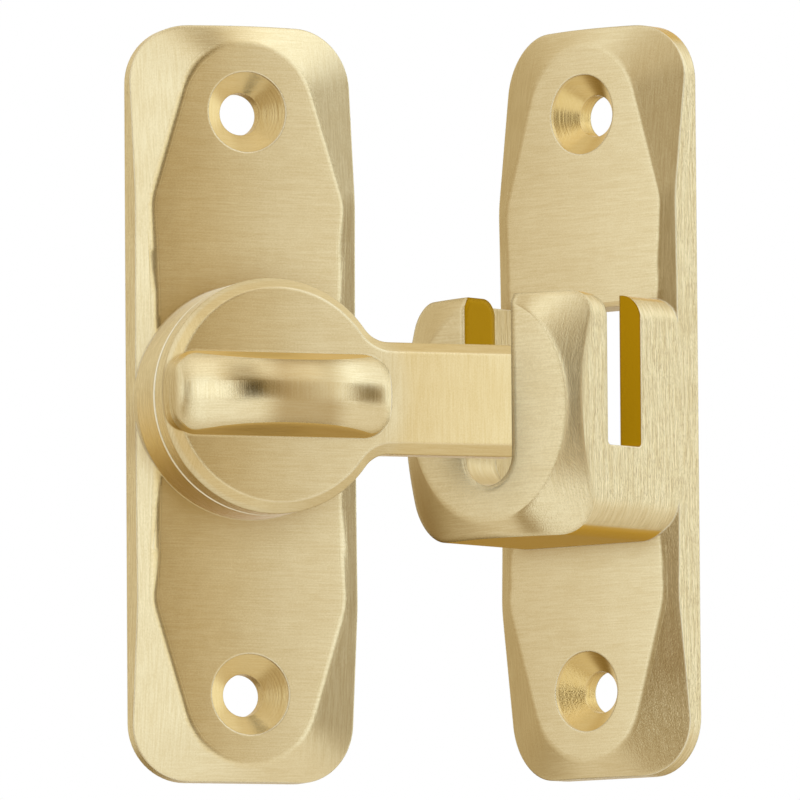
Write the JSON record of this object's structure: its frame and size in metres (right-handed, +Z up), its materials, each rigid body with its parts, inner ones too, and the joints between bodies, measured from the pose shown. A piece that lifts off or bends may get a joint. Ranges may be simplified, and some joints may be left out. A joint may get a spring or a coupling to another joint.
{
  "type": "barn door latch",
  "caption": "Turning barn door latch: a disc with a thumb bar and an arm on a scooped backplate, and a slotted keeper block that the arm drops into.",
  "frame": {"origin": "centre of the latch plate's two screw holes, where the pivot axis meets the plate's back", "axes": "+Z up along both backplates, +X from the latch towards the keeper, +Y out of the latch plate's back into what it is screwed to"},
  "size_m": [0.0746, 0.0385, 0.101],
  "materials": {
    "plate_gold": "brushed pale gold plating",
    "arm_gold": "brushed pale gold plating",
    "keeper_gold": "brushed pale gold plating",
    "washer_plastic": "natural nylon",
    "spring_steel": "oiled spring steel",
    "plated_steel": "bright zinc plating"
  },
  "bodies": {
    "mounted": {"latch_plate": "plate_gold", "keeper": "keeper_gold", "friction_washer": "washer_plastic", "spring_washer": "spring_steel"},
    "turn": {"turn_arm": "arm_gold", "retaining_washer": "plated_steel", "pivot_screw": "plated_steel"}
  },
  "joints": [
    {"name": "arm_turn", "type": "hinge", "parent": "mounted", "child": "turn", "pos_m": [0, 0, 0], "axis": [0, -1, 0], "range_deg": [0, 180]}
  ]
}
